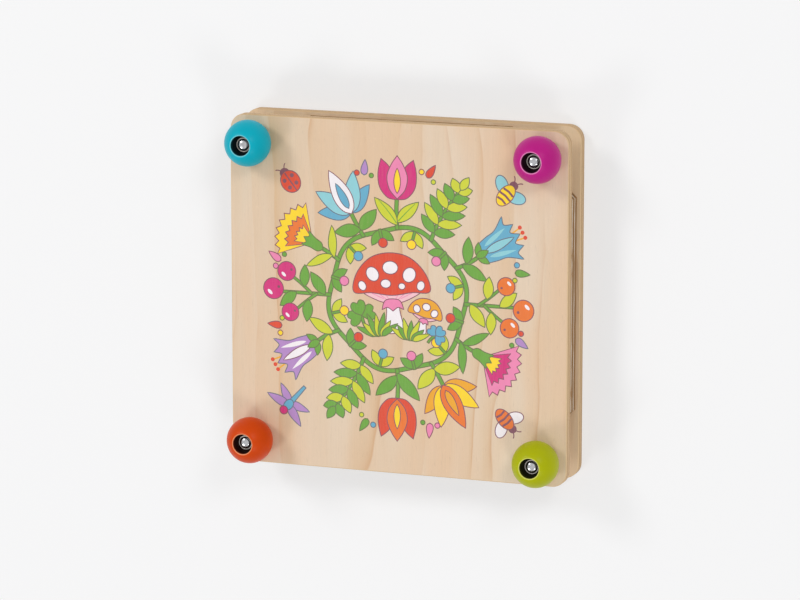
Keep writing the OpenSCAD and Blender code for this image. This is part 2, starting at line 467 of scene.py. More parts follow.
def boardPieces():
    look, ease = boardLook, boardLook["holeEasing"]
    bolt, head, gap = look["boltRadius"], look["headRadius"] + look["boltGap"], look["boltGap"]
    slide, rim = bolt + look["slideGap"], baseLow.z + look["headRim"]
    boltHole = [(bolt + ease, baseHigh.z), (bolt + gap, baseHigh.z - ease),
                (bolt + gap, rim + look["headCone"]), (head, rim), (head, baseLow.z)]
    slideHole = [(slide + ease, topHigh.z), (slide, topHigh.z - ease),
                 (slide, topLow.z + ease), (slide + ease, topLow.z)]
    baseFace = faceWood("sandedBaseFace", baseWood, 0.3)
    baseEdge = edgeWood("baseBoardPlies", baseLow, baseHigh, 2)
    topFace = faceWood("varnishedTopFace", topWood, 0.4)
    topUnder = faceWood("topBoardUnderside", underWood, 0.3)
    topEdge = edgeWood("topBoardPlies", topLow, topHigh, 6)
    boardPiece("baseBoard", "base_board", [baseFace, baseEdge, baseFace], boltHole)
    boardPiece("printedBoard", "top_board", [topFace, topEdge, topUnder], slideHole)


baseLow, baseHigh = nodeBox("base_board")
topLow, topHigh = nodeBox("top_board")
boardPieces()
print("boards: base and printed")


knobLook = {
    "ballRadius": 12.5, "ballSteps": 44, "turnSteps": 96,
    "footRadius": 7.5, "footEasing": 0.35,
    "recessRadius": 5.5, "recessDepth": 4.6, "boreRadius": 4.02,
    "lipWidth": 0.7,  # the eased lip, from crown into recess
    "lipWearAndHighlight": [0.7, 0.95, 1, 1, 1, 0.9, 0.6, 0.2, 0],  # how far the paint is worn thin and lightened as a painted highlight
    "lipRecessShade": [0, 0, 0, 0, 0, 0.1, 0.3, 0.6, 0.8],  # how far it is darkened as painted shade of the recess
    # how far each ring of the recess wall and floor is darkened as painted shade
    "wallRecessShade": [0.86, 0.94, 1, 1, 1, 1],
}
# Deep is the near-black painted shade that each knob's recess is darkened to
knobPaints = {
    # Worn is the light colour of the worn lip together with its painted highlight
    "front_left": ("orange", {"Paint": (212, 70, 0), "Worn": (246, 168, 120), "Deep": (30, 4, 0)}),
    "front_right": ("lime", {"Paint": (175, 181, 0), "Worn": (226, 226, 124), "Deep": (18, 18, 0)}),
    "rear_left": ("turquoise", {"Paint": (0, 174, 195), "Worn": (136, 214, 222), "Deep": (0, 14, 18)}),
    "rear_right": ("magenta", {"Paint": (190, 28, 132), "Worn": (240, 156, 204), "Deep": (24, 0, 12)}),
}


def knobPiece(corner):
    # a turned ball with a flat foot and a round recess in its crown
    look, (name, colors), node = knobLook, knobPaints[corner], "knob_" + corner
    low, high = nodeBox(node)
    ball, foot, recess = look["ballRadius"], look["footRadius"], look["recessRadius"]
    bore, lipWidth, floorZ = look["boreRadius"], look["lipWidth"], high.z - look["recessDepth"]
    crown = recess + lipWidth
    lowAngle = 1.6 - degrees(acos(foot / ball))
    highAngle = degrees(acos(crown / ball)) - 1.2
    outside = [(bore, low.z), (foot - look["footEasing"], low.z)]
    outside += arc(0, low.z + sqrt(ball ** 2 - foot ** 2), ball, lowAngle, highAngle, look["ballSteps"])
    lip = arc(crown - 0.12 - lipWidth * 0.5, high.z - lipWidth * 0.56, lipWidth * 0.55, 78, 180, 8)
    wall = [(recess, high.z - lipWidth * 0.95), (recess, high.z - 1.6), (recess, floorZ + 0.4),
            (recess - 0.12, floorZ + 0.12), (recess - 0.4, floorZ), (bore, floorZ)]
    plain = [0] * len(outside)
    # rubbed marks the lip that is worn thin and lightened as a painted highlight
    marks = {"wearAndHighlight": plain + look["lipWearAndHighlight"] + [0] * len(wall),
             # inside marks the recess rings that are darkened as painted shade
             "inside": plain + look["lipRecessShade"] + look["wallRecessShade"]}
    coat = {**colors, "Wear And Highlight": "wearAndHighlight", "Inside": "inside", "Seed": len(name)}
    paint = groupMaterial(name + "SatinPaint", colors["Paint"], satinPaint, coat, (0.22, 0.04),
                          specular=0.3, ior=1.32)
    points, faces = revolve(outside + lip + wall, boltAxis[corner], look["turnSteps"])
    dress(newPiece(name + "Knob", points, faces, [paint], sharpAngle=40, marks=marks), node)


for corner in cornerNames:
    knobPiece(corner)
print("knobs: four painted balls")


insertLook = {"radius": 3.98, "bore": 3.05, "easing": 0.18, "countersink": 0.3, "steps": 72}
boltLook = {
    "radius": 3, "rootRadius": 2.39, "pitch": 1, "steps": 48,
    "runOut": 0.7, "neckRadius": 2.9, "tipRadius": 2.62, "tipDome": 0.72,
    "headRadius": 5.62, "headSink": 0.3, "headRim": 0.5, "headCone": 2.65,
    "crossWidth": 5.6, "crossThickness": 1.1, "crossDepth": 2,
    "grime": 0.75,  # in the thread, none on head and tip
    "firstTurn": 12, "nextTurn": 67,  # how the crosses happen to point
}
nutLook = {"flats": 10, "bore": 3, "chamferRadius": 4.85, "boreEasing": 0.45, "steps": 96}


def steelMaterial(name, bright, dull, rough, seed, grime=0):
    inputs = {"Bright": bright, "Dull": dull, "Rough": rough, "Seed": seed, "Grime": grime}
    return groupMaterial(name, bright, zincPlate, inputs, (0.18, 0.015), metallic=1)


insertSteel = steelMaterial("turnedInsertSteel", (176, 170, 164), (128, 121, 114), 0.32, 1)
boltSteel = steelMaterial("zincBoltSteel", (190, 191, 194), (132, 130, 128), 0.16, 2, "grime")
nutSteel = steelMaterial("zincNutSteel", (190, 191, 196), (146, 146, 148), 0.24, 3)


def insertPiece(corner):
    look, node = insertLook, "insert_" + corner
    low, high = nodeBox(node)
    outer, bore, ease, sink = look["radius"], look["bore"], look["easing"], look["countersink"]
    profile = [(bore, low.z), (outer, low.z)]
    profile += arc(outer - ease, high.z - ease, ease, 0, 90, 4)
    profile += [(bore + sink + 0.08, high.z), (bore + sink, high.z - 0.04), (bore, high.z - sink)]
    points, faces = revolve(profile, boltAxis[corner], look["steps"])
    dress(newPiece(pieceName(node), points, faces, [insertSteel], sharpAngle=30), node)


def threadedRod(bottom, top):
    # a true helix: each row of points climbs one pitch in a turn and joins the row above it
    look = boltLook
    steps, pitch, crest, root = look["steps"], look["pitch"], look["radius"], look["rootRadius"]
    runOut, tip, neck = look["runOut"], look["tipRadius"], look["neckRadius"]
    profile = ((0, crest), (0.125, crest), (0.4375, root), (0.6875, root))
    rows = (ceil((top - bottom) / pitch) + 3) * 4
    points, faces = [], []
    for row in range(rows):
        phase, radius = profile[row % 4]
        for step in range(steps):
            z = bottom - 1.5 * pitch + (row // 4 + phase + step / steps) * pitch
            z = min(max(z, bottom), top)
            reach = tip + (radius - tip) * min((top - z) / runOut, 1)
            reach = min(neck + (reach - neck) * min((z - bottom) / runOut, 1), tip + top - z)
            angle = 2 * pi * step / steps
            points.append((reach * cos(angle), reach * sin(angle), z))
            if row < rows - 5:
                here = row * steps + step
                after = here + 1 if step < steps - 1 else (row + 4) * steps
                faces.append((here, after, after + steps, here + steps))
    return points, faces


def crossCutter():
    # the tapered cross that is sunk into the underside of a bolt's head
    look, cutter = boltLook, bmesh.new()
    for turn in (0, 90):
        for vert in bmesh.ops.create_cube(cutter, size=1)["verts"]:
            deep = vert.co.z > 0
            x = vert.co.x * look["crossWidth"] * (0.6 if deep else 1.05)
            y = vert.co.y * look["crossThickness"] * (0.55 if deep else 1.12)
            z = look["headSink"] + (look["crossDepth"] if deep else -1)
            vert.co = Matrix.Rotation(radians(turn), 3, "Z") @ Vector((x, y, z)) * mm
    return newObject("crossCutter", meshOf(cutter, "crossCutter"))


def boltMesh():
    # threaded rod, rounded tip and countersunk head as one closed skin, then the cross cut out of it
    look, top = boltLook, nodeBox("bolt_front_left")[1].z
    tip, dome, radius, neck = look["tipRadius"], look["tipDome"], look["headRadius"], look["neckRadius"]
    sink = look["headSink"]
    rim = sink + look["headRim"]
    shares = (1, 0.96, 0.9, 0.82, 0.72, 0.6, 0.48, 0.36, 0.24, 0.12, 0)
    tipProfile = [(tip * share, top - dome * share ** 2.1) for share in shares]
    headProfile = [(0, sink), (radius - 0.25, sink), (radius, sink + 0.2), (radius, rim),
                   (neck, rim + look["headCone"])]
    parts = [(*threadedRod(rim + look["headCone"], top - dome), 0)]
    for profile in (tipProfile, headProfile):
        parts.append((*revolve(profile, (0, 0), look["steps"], closed=False), 0))
    points, faces, slots = merged(parts)
    grime = [0 if x * x + y * y > neck ** 2 or z > top - dome else look["grime"] for x, y, z in points]
    bolt, cutter = newPiece("boltBlank", points, faces, [boltSteel], marks={"grime": grime}), crossCutter()
    modifier = bolt.modifiers.new("crossRecess", "BOOLEAN")
    modifier.operation = "DIFFERENCE"
    modifier.solver = "EXACT"
    modifier.use_self = True
    modifier.object = cutter
    mesh = bpy.data.meshes.new_from_object(bolt.evaluated_get(bpy.context.evaluated_depsgraph_get()))
    form = bmesh.new()  # welds away the slivers that the cut leaves
    form.from_mesh(mesh)
    bmesh.ops.remove_doubles(form, verts=form.verts, dist=sliver)
    form.to_mesh(mesh)
    form.free()
    mesh.set_sharp_from_angle(angle=radians(38))
    for leftover in (bolt, cutter):
        bpy.data.objects.remove(leftover)
    return mesh


def boltPieces():
    bolt = boltMesh()
    for index, corner in enumerate(cornerNames):
        mesh, node = bolt.copy(), "bolt_" + corner
        angle = radians(boltLook["nextTurn"] * index + boltLook["firstTurn"])
        place = Matrix.Translation(Vector((*boltAxis[corner], 0)) * mm)
        mesh.transform(place @ Matrix.Rotation(angle, 4, "Z"))
        mesh.name = pieceName(node)
        dress(newObject(mesh.name, mesh), node)


def nutPiece(corner):
    look, node = nutLook, "nut_" + corner
    low, high = nodeBox(node)
    bore, ease, flat, centre = look["bore"], look["boreEasing"], look["chamferRadius"], boltAxis[corner]
    columns = []
    for step in range(look["steps"]):
        angle = 2 * pi * step / look["steps"]
        within = (angle + pi / 6) % (pi / 3) - pi / 6
        reach = look["flats"] / 2 / cos(within)
        drop = max(0, reach - flat) * tan(radians(30))
        profile = ((flat, low.z), (reach, low.z + drop), (reach, high.z - drop), (flat, high.z),
                   (bore + ease, high.z), (bore, high.z - ease), (bore, low.z + ease), (bore + ease, low.z))
        turned = angle + radians(30)  # the CAD nut has a corner along +x
        columns.append([(centre[0] + radius * cos(turned), centre[1] + radius * sin(turned), z)
                        for radius, z in profile])
    points = [point for row in zip(*columns) for point in row]
    faces = skin(len(profile), look["steps"], closed=True)
    dress(newPiece(pieceName(node), points, faces, [nutSteel], sharpAngle=25), node)


for corner in cornerNames:
    insertPiece(corner)
    nutPiece(corner)
boltPieces()
print("steel: inserts, nuts and threaded bolts")


sheetLook = {
    "linerThickness": 0.35, "linerInset": 0.05, "fluteThickness": 0.3, "fluteInset": 0.2,
    "fluteBite": 0.03, "flutePitch": 6.5, "fluteShift": 0.25, "samplesPerFlute": 20,
    "blotterInset": 0.1, "blotterSoft": 0.14, "edgeStep": 5, "edgeJitter": 0.16, "seed": 41,
}


def paperMaterial(name, base, fleck, fleckShare, contrast, seed):
    inputs = {"Base": base, "Fleck": fleck, "Fleck Share": fleckShare, "Contrast": contrast, "Seed": seed}
    return groupMaterial(name, base, paperFibre, inputs, (0.6, 0.06), specular=0.15)


linerPaper = paperMaterial("brownLiner", (176, 139, 100), (128, 92, 60), 0.35, 0.22, 1)
mediumPaper = paperMaterial("brownFluting", (158, 122, 85), (110, 80, 52), 0.3, 0.25, 2)
blotterPaper = paperMaterial("blottingPaper", (231, 225, 212), (250, 247, 238), 0.4, 0.14, 3)


def sideways(start, end):
    # unit vector to the right of the way from start to end
    length = max(dist(start, end), 1e-6)
    return (end[1] - start[1]) / length, (start[0] - end[0]) / length


# how much of each corner the CAD sheets have cut away, read off a straight front edge
low, high = nodeBox("blotter_1")
verts = frame["nodes"]["blotter_1"].data.vertices
cornerCut = high.x - max(vert.co.x / mm for vert in verts if abs(vert.co.y / mm - low.y) < 0.01)
sheetRandom = random.Random(sheetLook["seed"])


def sheetOutline(low, high, inset, jitter):
    halfX, halfY = (high.x - low.x) / 2 - inset, (high.y - low.y) / 2 - inset
    cutX, cutY = halfX - cornerCut, halfY - cornerCut
    corners = [(halfX, cutY), (cutX, halfY), (-cutX, halfY), (-halfX, cutY),
               (-halfX, -cutY), (-cutX, -halfY), (cutX, -halfY), (halfX, -cutY)]
    points = []
    for start, end in zip(corners, rolled(corners)):
        normal = sideways(start, end)
        count = max(2, round(dist(start, end) / sheetLook["edgeStep"]))
        for part in range(count):
            share = part / count
            push = max(-abs(sheetRandom.gauss(0, 0.5)) * jitter, -2 * jitter) if part else 0
            points.append((start[0] + (end[0] - start[0]) * share + normal[0] * push,
                           start[1] + (end[1] - start[1]) * share + normal[1] * push))
    return points


def slab(outline, rings):
    # a flat sheet; rings are (distance in from the outline, z) from its underside to its upper side
    points = []
    for inset, z in rings:
        for x, y in outline:
            share = 1 - inset / hypot(x, y)
            points.append((x * share, y * share, z))
    faces, count = skin(len(rings), len(outline)), len(outline)
    return points, faces + [tuple(range(count)), tuple(range(len(points) - count, len(points)))]


def cardPiece(node, number):
    look, (low, high) = sheetLook, nodeBox(node)
    liner, thickness, pitch = look["linerThickness"], look["fluteThickness"], look["flutePitch"]
    parts = []
    for z in (low.z, high.z - liner):
        outline = sheetOutline(low, high, look["linerInset"], look["edgeJitter"])
        rings = [(0.06, z + 0.01), (0, z + 0.07), (0, z + liner - 0.07), (0.06, z + liner - 0.01)]
        parts.append((*slab(outline, rings), 0))
    # the fluted sheet between the liners, its flutes running front to rear
    amplitude = (high.z - low.z) / 2 - liner - thickness / 2 + look["fluteBite"]
    halfX, halfY = high.x - look["fluteInset"], high.y - look["fluteInset"]
    count = int(2 * halfX / pitch * look["samplesPerFlute"])
    shift, middle = look["fluteShift"], (low.z + high.z) / 2
    start = sheetRandom.uniform(-shift, shift)
    points = []
    for index in range(count + 1):
        x = -halfX + 2 * halfX * index / count
        sway = noise.noise(Vector((x / 23, number * 7.3, 0)))
        angle = 2 * pi * (x + start + shift * sway) / pitch
        swell = amplitude * (1 - 0.05 * abs(noise.noise(Vector((x / 11, 3.1, number)))))
        slope = -swell * 2 * pi / pitch * sin(angle)
        half = thickness / 2 * sqrt(1 + slope * slope)
        z = middle + swell * cos(angle)
        ragged = 0.12 * noise.noise(Vector((x / 1.7, 9, number)))
        reach = halfY - max(0, abs(x) - (halfX - cornerCut)) + ragged
        points += [(x, -reach, z - half), (x, reach, z - half), (x, reach, z + half), (x, -reach, z + half)]
    faces = skin(count + 1, 4) + [(0, 1, 2, 3), tuple(range(count * 4, count * 4 + 4))]
    parts.append((points, faces, 1))
    points, faces, slots = merged(parts)
    dress(newPiece(pieceName(node), points, faces, [linerPaper, mediumPaper], slots), node)


def blotterPiece(node):
    soft, (low, high) = sheetLook["blotterSoft"], nodeBox(node)
    outline = sheetOutline(low, high, sheetLook["blotterInset"], sheetLook["edgeJitter"] * 1.3)
    rings = [(soft, low.z + 0.01), (soft * 0.3, low.z + 0.08), (0, low.z + 0.2),
             (0, high.z - 0.2), (soft * 0.3, high.z - 0.08), (soft, high.z - 0.01)]
    points, faces = slab(outline, rings)
    dress(newPiece(pieceName(node), points, faces, [blotterPaper]), node)


for number in range(1, 5):
    cardPiece("card_%d" % number, number)
for number in range(1, 7):
    blotterPiece("blotter_%d" % number)
print("stack: four cards and six sheets of blotting paper")


# the printed wreath, a generic design of leaves and flowers
inkColors = {
    "turquoise": (92, 172, 204), "aqua": (140, 208, 218), "yellow": (255, 217, 30), "gold": (240, 168, 32),
    "orange": (236, 116, 38), "red": (222, 66, 40), "magenta": (212, 30, 122), "pink": (240, 134, 180),
    "blush": (248, 196, 206), "lilac": (180, 136, 200), "white": (248, 242, 246), "lime": (206, 212, 46),
    "green": (100, 164, 56), "plum": (112, 44, 84), "slate": (66, 92, 122), "moss": (64, 98, 44),
}
# the ink of the line round a shape, where it isn't plum
lineInk = {
    "turquoise": "slate", "aqua": "slate", "lilac": "slate", "lime": "moss", "green": "moss",
}
printLook = {
    "lineWidth": 0.5, "lineCover": 0.86, "fillCover": 0.94,
    "sunk": 0.05, "raised": 0.02,  # how far the ink reaches into the board and stands on it
    "ringRadius": 38.5, "ringWidth": 1.8, "ringWave": 1.3, "flowerScale": 1.1,
}


def inkMaterial(name):
    ink, isLine = inkColors[name], name in ("plum", "slate", "moss")
    material, shader = newMaterial("print" + name.capitalize(), screenColor(*ink), specular=0.35)
    grain = placeGroup(material.node_tree, woodGrain, topWood)
    cover = printLook["lineCover" if isLine else "fillCover"]
    dye = placeGroup(material.node_tree, printedInk, {"Ink": ink, "Wood": grain["Color"], "Cover": cover})
    finishShader(shader, dye["Color"], grain["Roughness"], dye["Height"], (0.25, 0.03))
    return material


inkMaterials = {name: inkMaterial(name) for name in inkColors}


def insideOf(x, y, points):
    turns = 0
    for (x0, y0), (x1, y1) in zip(points, rolled(points)):
        if (y0 <= y) != (y1 <= y):
            side = (x1 - x0) * (y - y0) - (x - x0) * (y1 - y0)
            turns += (side > 0) - (side < 0)
    return turns != 0


def grown(points, width):
    # the outline pushed outwards by width, for the printed line round a shape
    area = sum(a[0] * b[1] - b[0] * a[1] for a, b in zip(points, rolled(points)))
    points = points if area > 0 else points[::-1]
    normals = [sideways(start, end) for start, end in zip(points, rolled(points))]
    result = []
    for (x, y), before, after in zip(points, rolled(normals, -1), normals):
        sumX, sumY = before[0] + after[0], before[1] + after[1]
        length = max(hypot(sumX, sumY), 0.7)
        reach = width * min(2 / length, 1.6)
        result.append((x + sumX / length * reach, y + sumY / length * reach))
    return result


def printPiece(name, shapes):
    # a shape is (ink, points, outlined), in printing order; each area ends up in its topmost ink only
    areas, corners, edges = [], [], []
    for ink, points, outlined in shapes:
        if outlined:
            areas.append((lineInk.get(ink, "plum"), grown(points, printLook["lineWidth"])))
        areas.append((ink, points))
    for number, (ink, points) in enumerate(areas):
        indices = list(range(len(corners), len(corners) + len(points)))
        corners += [Vector(point) for point in points]
        edges += zip(indices, rolled(indices))
        across, up = zip(*points)
        areas[number] = ink, points, (min(across), max(across), min(up), max(up))
    spots, _, triangles, *_ = delaunay_2d_cdt(corners, edges, [], 0, 1e-3)
    kept, count = {}, len(spots)
    for loop in triangles:
        x, y = (sum(spots[corner][axis] for corner in loop) / 3 for axis in (0, 1))
        for ink, points, (left, right, bottom, top) in reversed(areas):
            if left < x < right and bottom < y < top and insideOf(x, y, points):
                kept[tuple(loop)] = ink
                break
    names = sorted(set(kept.values()))
    heights = (topHigh.z + printLook["raised"], topHigh.z - printLook["sunk"])
    points = [(*spot, z) for z in heights for spot in spots]
    faces, slots, rim = [], [], {}
    for loop, ink in kept.items():
        faces += [loop, tuple(corner + count for corner in reversed(loop))]
        slots += [names.index(ink)] * 2
        for start, end in zip(loop, rolled(loop)):
            if rim.pop((end, start), None) is None:
                rim[(start, end)] = names.index(ink)
    faces += [(start, start + count, end + count, end) for start, end in rim]
    materials = [inkMaterials[ink] for ink in names]
    piece = newPiece(name, points, faces, materials, slots + list(rim.values()), flatSlots=range(len(names)))
    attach(piece, bodyOf["top_board"])


def moved(points, place=(0, 0), turn=0, scale=1):
    # turn is clockwise, in degrees, about the motif's own origin
    angle = radians(-turn)
    cosine, sine = cos(angle) * scale, sin(angle) * scale
    return [(place[0] + x * cosine - y * sine, place[1] + x * sine + y * cosine) for x, y in points]


def placed(shapes, place, turn=0, scale=1):
    return [(ink, moved(points, place, turn, scale), outlined) for ink, points, outlined in shapes]


def smooth(controls, steps=6):
    # closed Catmull-Rom curve; a control with a third value is a sharp corner
    points = []
    ring = zip(rolled(controls, -1), controls, rolled(controls), rolled(controls, 2))
    for before, here, after, beyond in ring:
        before = here if len(here) > 2 else before
        beyond = after if len(after) > 2 else beyond
        for t in (step / steps for step in range(steps)):
            points.append(tuple(
                0.5 * (2 * b + (c - a) * t + (2 * a - 5 * b + 4 * c - d) * t * t
                       + (3 * b - a - 3 * c + d) * t ** 3)
                for a, b, c, d in zip(before[:2], here, after, beyond)))
    return points


def evenly(half):
    # a smooth outline from its right half, listed from the bottom to the top
    return smooth(half + [(-point[0], *point[1:]) for point in reversed(half) if abs(point[0]) > 1e-6])


def curve(start, control, end, steps=10):
    points = []
    for t in (step / steps for step in range(steps + 1)):
        points.append(tuple(
            a * (1 - t) ** 2 + 2 * b * t * (1 - t) + c * t * t for a, b, c in zip(start, control, end)))
    return points


def line(ink, points, width, endWidth=None, outlined=False):
    # a stroke that narrows from width to endWidth
    endWidth = width if endWidth is None else endWidth
    right, left = [], []
    last = len(points) - 1
    for index, (x, y) in enumerate(points):
        across, up = sideways(points[max(0, index - 1)], points[min(last, index + 1)])
        half = (width + (endWidth - width) * index / last) / 2
        right.append((x + across * half, y + up * half))
        left.append((x - across * half, y - up * half))
    return ink, right + left[::-1], outlined


def stem(start, control, end, width, endWidth=None):
    return line("green", curve(start, control, end), width, endWidth, outlined=True)


def leaf(ink, x, y, turn, length, width, bend=0, fullness=0.9, outlined=True):
    # a pointed leaf from (x, y); turn in degrees from straight up, to the right
    steps, right, left = 12, [], []
    for t in (step / steps for step in range(steps + 1)):
        half = width / 2 * max(0, sin(pi * t ** fullness)) ** 0.85
        middle = bend * sin(pi * t / 2) * t
        right.append((middle + half, length * t))
        left.append((middle - half, length * t))
    return ink, moved(right + left[-2:0:-1], (x, y), turn), outlined


def leafPair(ink, x, y, turn, length, width, bend=0, *style):
    # a leaf and its mirror image
    return [leaf(ink, side * x, y, side * turn, length, width, side * bend, *style) for side in (1, -1)]


def spot(ink, x, y, radiusX, radiusY=None, turn=0, outlined=True):
    # turn is anticlockwise here
    points = [(across * radiusX, up * (radiusY or radiusX)) for across, up in arc(0, 0, 1, 0, 360, 26)[:-1]]
    return ink, moved(points, (x, y), -turn), outlined


def dot(*values):
    return spot(*values, outlined=False)


def fan(ink, radius, depth, spread, teeth):
    points = [(-1.4, 16.4), (1.4, 16.4)]
    for tooth in range(2 * teeth + 1):
        angle = radians(spread * (1 - tooth / teeth))
        reach = radius - (depth if tooth % 2 else 0)
        points.append((sin(angle) * reach, 16 + cos(angle) * reach))
    return ink, points, True


def feelers(*points):
    return [line("plum", curve(*((side * x, y) for x, y in points)), 0.4) for side in (-1, 1)]


def tulip(cup, heart, blade):
    side = smooth([
        (0, 13.6, 1), (4.8, 14.4), (8.8, 19.2), (9.6, 26), (8.2, 32.6, 1), (4.2, 29), (0.8, 22)])
    middle = evenly([(0, 14, 1), (3.8, 18.4), (5, 24.4), (2.9, 30.2), (0, 34.4, 1)])
    return [
        stem((0, -1), (-0.8, 8), (0, 15), 1.4),
        leaf(blade, 0.2, 2.4, 40, 14.5, 5.6, 1.6), leaf(blade, -0.2, 1.2, -36, 16.5, 5.8, -1.8),
        line("green", curve((0.6, 3), (5.2, 8.2), (9.2, 11.8)), 0.5, 0.3),
        line("green", curve((-0.4, 2), (-4.8, 8.2), (-9.6, 12.8)), 0.5, 0.3),
        (cup, side, True), (cup, [(-x, y) for x, y in side], True), (heart, middle, True),
        leaf("yellow", 0, 16.8, 0, 11.5, 2.9),
    ]


def fern(blade, tip):
    spine = curve((0, -1), (-3, 14), (0.8, 32), 14)
    shapes = [line("green", spine, 1.5, 0.6, outlined=True)]
    for pair, (x, y) in enumerate(spine[2:13:2]):
        length = 12.4 - 1.5 * abs(pair - 1.4)
        ink = (blade, tip)[pair % 2]
        shapes.append(leaf(ink, x, y, 58 - 3 * pair, length, 4.4, 0.8))
        shapes.append(leaf(ink, x, y, 3 * pair - 62, length, 4.4, -0.8))
    return shapes + [leaf(tip, spine[-2][0], spine[-2][1] - 0.6, 4, 7, 3.8)]


def bellflower(bell, inside, blade):
    shapes = [stem((0, -1), (1.6, 7), (0, 13.6), 1.3)]
    for x in (-2.6, 0, 2.6):
        shapes += [line("gold", [(x * 0.6, 30), (x, 37.6)], 0.7), dot("red", x * 1.06, 37.9, 1)]
    cup = evenly([(0, 12.6, 1), (4.2, 14.2), (6, 19.8), (7, 25.6), (11.2, 32, 1), (7.4, 31),
                  (5.6, 35, 1), (2.8, 32), (0, 36, 1)])
    return shapes + [
        leaf(blade, 0.4, 3, 54, 13.5, 5, 1.2), leaf(blade, 0.4, 5.2, -50, 12.5, 5, -1.2),
        (bell, cup, True), leaf(inside, 0, 16.6, 0, 16, 3.6, 0, 0.8),
        *leafPair(inside, -2.8, 17.4, -13, 14, 2.2, 0, 0.8, False),
        *leafPair("green", 0, 12, 58, 6.4, 2.8), leaf("green", 0, 11.2, 0, 6.6, 3.2),
    ]


def carnation(outer, inner, blade):
    calyx = evenly([(0, 9, 1), (2.1, 11), (2.5, 15), (3.7, 19.2, 1), (1.6, 17.8), (0, 19.8, 1)])
    return [
        stem((0, -1), (0.8, 6), (0, 11), 1.3),
        leaf(blade, 0, 2, 46, 15, 3.9, 2.4), leaf(blade, 0, 3.4, -44, 14, 3.9, -2.4),
        fan(outer, 18.6, 2.1, 52, 8), fan(inner, 13.4, 1.8, 43, 6), fan("yellow", 8.4, 1.4, 32, 4),
        ("green", calyx, True),
    ]


def berrySprig(berry, blade):
    shapes = [
        stem((0, -1), (0, 14), (0, 25), 1.3, 0.9),
        stem((0, 9), (4, 13), (8, 19), 1, 0.8), stem((0, 6), (-4, 12), (-8.2, 16.5), 1, 0.8),
        leaf(blade, 0, 2, 60, 12.5, 5.2, -1), leaf(blade, -3.4, 10.4, -80, 10.4, 4.8, -0.8),
        leaf(blade, 0, 17, -36, 10.6, 4.8, -0.8), leaf(blade, 3.4, 12.4, 86, 10.2, 4.6, 0.8),
    ]
    for x, y, radius in ((1.2, 28.8, 5), (10.2, 21.8, 4.5), (-10, 20, 4.2)):
        shine = radius * 0.36
        shapes += [spot(berry, x, y, radius),
                   dot("white", x - shine, y + shine, radius * 0.32, radius * 0.16, 45),
                   dot("plum", x + radius * 0.2, y - radius * 0.55, radius * 0.14)]
    return shapes


def lotus(outer, middle, heart, blade):
    return [
        stem((0, -1), (-0.6, 7), (0, 13), 1.4), *leafPair(blade, 0, 2.6, 64, 13, 6, 1),
        *leafPair(outer, 0, 12.4, -70, 16.5, 7, 1.5, 0.75), *leafPair(middle, 0, 12, -36, 20, 8, 1, 0.75),
        leaf(heart, 0, 11.6, 0, 23, 9, 0, 0.75), leaf(outer, 0, 14.6, 0, 13, 3.4, 0, 0.75),
    ]


def mushroom(cap, dots):
    stalk = smooth([(-4.2, -19.6), (-3.2, -9), (-3.6, 1), (3.6, 1), (3.4, -9), (5, -19.6), (0, -20.8)])
    gills = smooth([(-15.6, 1.2), (-7.6, -3.9), (0, -5.2), (7.6, -3.9), (15.6, 1.2), (0, 3)])
    top = smooth([(-20.4, 0.6), (-18.2, 10), (-10.4, 17.8), (0, 20.2), (10.4, 17.8), (18.2, 10),
                  (20.4, 0.6), (11, 0.2), (0, -1.2), (-11, 0.2)])
    frill = smooth([
        (-5.6, -8.4, 1), (-3.4, -4), (3.4, -4), (5.6, -8.4, 1), (2.8, -7.4), (0, -9.2, 1), (-2.8, -7.4)])
    shapes = [("white", stalk, True), ("blush", gills, True)]
    for part in (-3, -2, -1, 1, 2, 3):
        shapes.append(line("pink", [(part * 1.5, -4.4 + abs(part) * 0.4), (part * 4.1, 0.4)], 0.35))
    return shapes + [("pink", frill, True), (cap, top, True)] + [spot("white", *values) for values in dots]


def grassTuft(count, length, inks, spread=46):
    shapes = []
    for index in range(count):
        turn = -spread + 2 * spread * index / (count - 1)
        size = length * (1 - 0.25 * abs(turn) / spread) * (0.82 if index % 2 else 1)
        shapes.append(leaf(inks[index % len(inks)], turn * 0.05, 0, turn, size, 2.9, turn * 0.05, 0.7))
    return shapes


def cloverSprig(ink):
    lobe = evenly([(0, 0, 1), (2.8, 2.4), (3.6, 5.4), (1.9, 6.9), (0, 5.6, 1)])
    lobes = [(ink, moved(lobe, (0, 8.2), turn), True) for turn in (-92, 92, 0)]
    return [stem((0, 0), (-1.2, 4), (0, 8), 1)] + lobes


def bee(body, wing):
    shapes = [spot(wing, side * 3.5, 2, 3.5, 2.1, side * 28) for side in (-1, 1)]
    shapes += feelers((0.6, 5.6), (1, 7.2), (2.2, 7.6))
    shapes += [dot("plum", 0, 4.7, 1.7), spot(body, 0, 0, 2.6, 4.4)]
    for y, half in ((1.5, 2.35), (-0.5, 2.55), (-2.5, 2)):
        shapes.append(line("plum", [(-half, y), (0, y + 0.35), (half, y)], 0.8))
    return shapes


def ladybird(shell):
    shapes = [dot("plum", 0, 3.8, 2.1), spot(shell, 0, 0, 3.8, 4.2), line("plum", [(0, -4.1), (0, 4)], 0.5)]
    shapes += [dot("plum", x, y, 0.8) for x, y in ((-1.9, 1.6), (1.9, 1.6), (-1.7, -1.7), (1.7, -1.7))]
    return shapes + feelers((0.8, 5.2), (1.4, 6.6), (2.5, 6.8))


def dragonfly(body, wing):
    shapes = []
    for side in (-1, 1):
        shapes += [leaf(wing, side * 0.4, 0.8, side * 112, 7, 2.6, 0, 0.6),
                   leaf(wing, side * 0.4, 2, side * 74, 8, 2.8, 0, 0.6)]
    return shapes + [line(body, [(0, 1), (0, -2.5), (0, -7.2)], 1.6, 0.8, outlined=True),
                     spot(body, 0, 1.8, 1.4, 2), spot("magenta", 0, 4.5, 1.3)]


